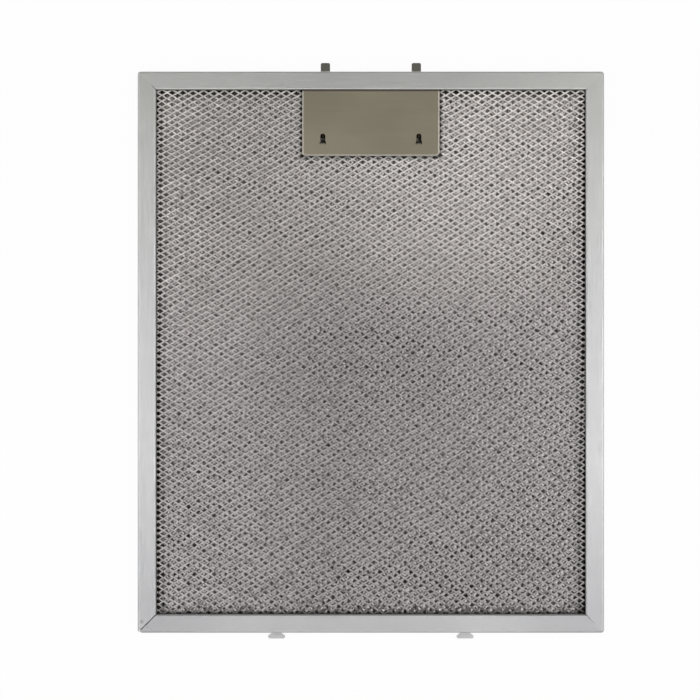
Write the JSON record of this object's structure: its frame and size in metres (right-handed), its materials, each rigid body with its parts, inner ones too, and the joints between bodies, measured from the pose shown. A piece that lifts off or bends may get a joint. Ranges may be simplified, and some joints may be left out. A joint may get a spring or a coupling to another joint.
{
  "type": "cooker hood grease filter",
  "caption": "Flat rectangular grease filter: folded aluminium channel frame around layered expanded mesh, with a sprung latch plate at one end and lugs at the other.",
  "frame": {"origin": "middle of the rear face, on which the filter lies", "axes": "+X across the filter, +Y along it towards the latch, +Z out of the face that carries the latch"},
  "size_m": [0.25, 0.3094, 0.0096],
  "materials": {
    "frame_aluminium": "satin rolled sheet",
    "mesh_aluminium": "bright expanded foil, slightly dull",
    "latch_steel": "satin, warm grey",
    "spring_steel": "drawn wire"
  },
  "bodies": {
    "filter": {"frame": "frame_aluminium", "front_mesh": "mesh_aluminium", "inner_mesh_1": "mesh_aluminium", "inner_mesh_2": "mesh_aluminium", "inner_mesh_3": "mesh_aluminium", "rear_mesh": "mesh_aluminium", "latch_spring_left": "spring_steel", "latch_spring_right": "spring_steel"},
    "latch": {"latch_plate": "latch_steel"}
  },
  "joints": [
    {"name": "latch_slide", "type": "slide", "parent": "filter", "child": "latch", "axis": [0, -1, 0], "range_m": [0, 0.0045], "stiffness_N_per_m": 600, "springref_m": -0.003, "deforming": ["latch_spring_left", "latch_spring_right"]}
  ]
}
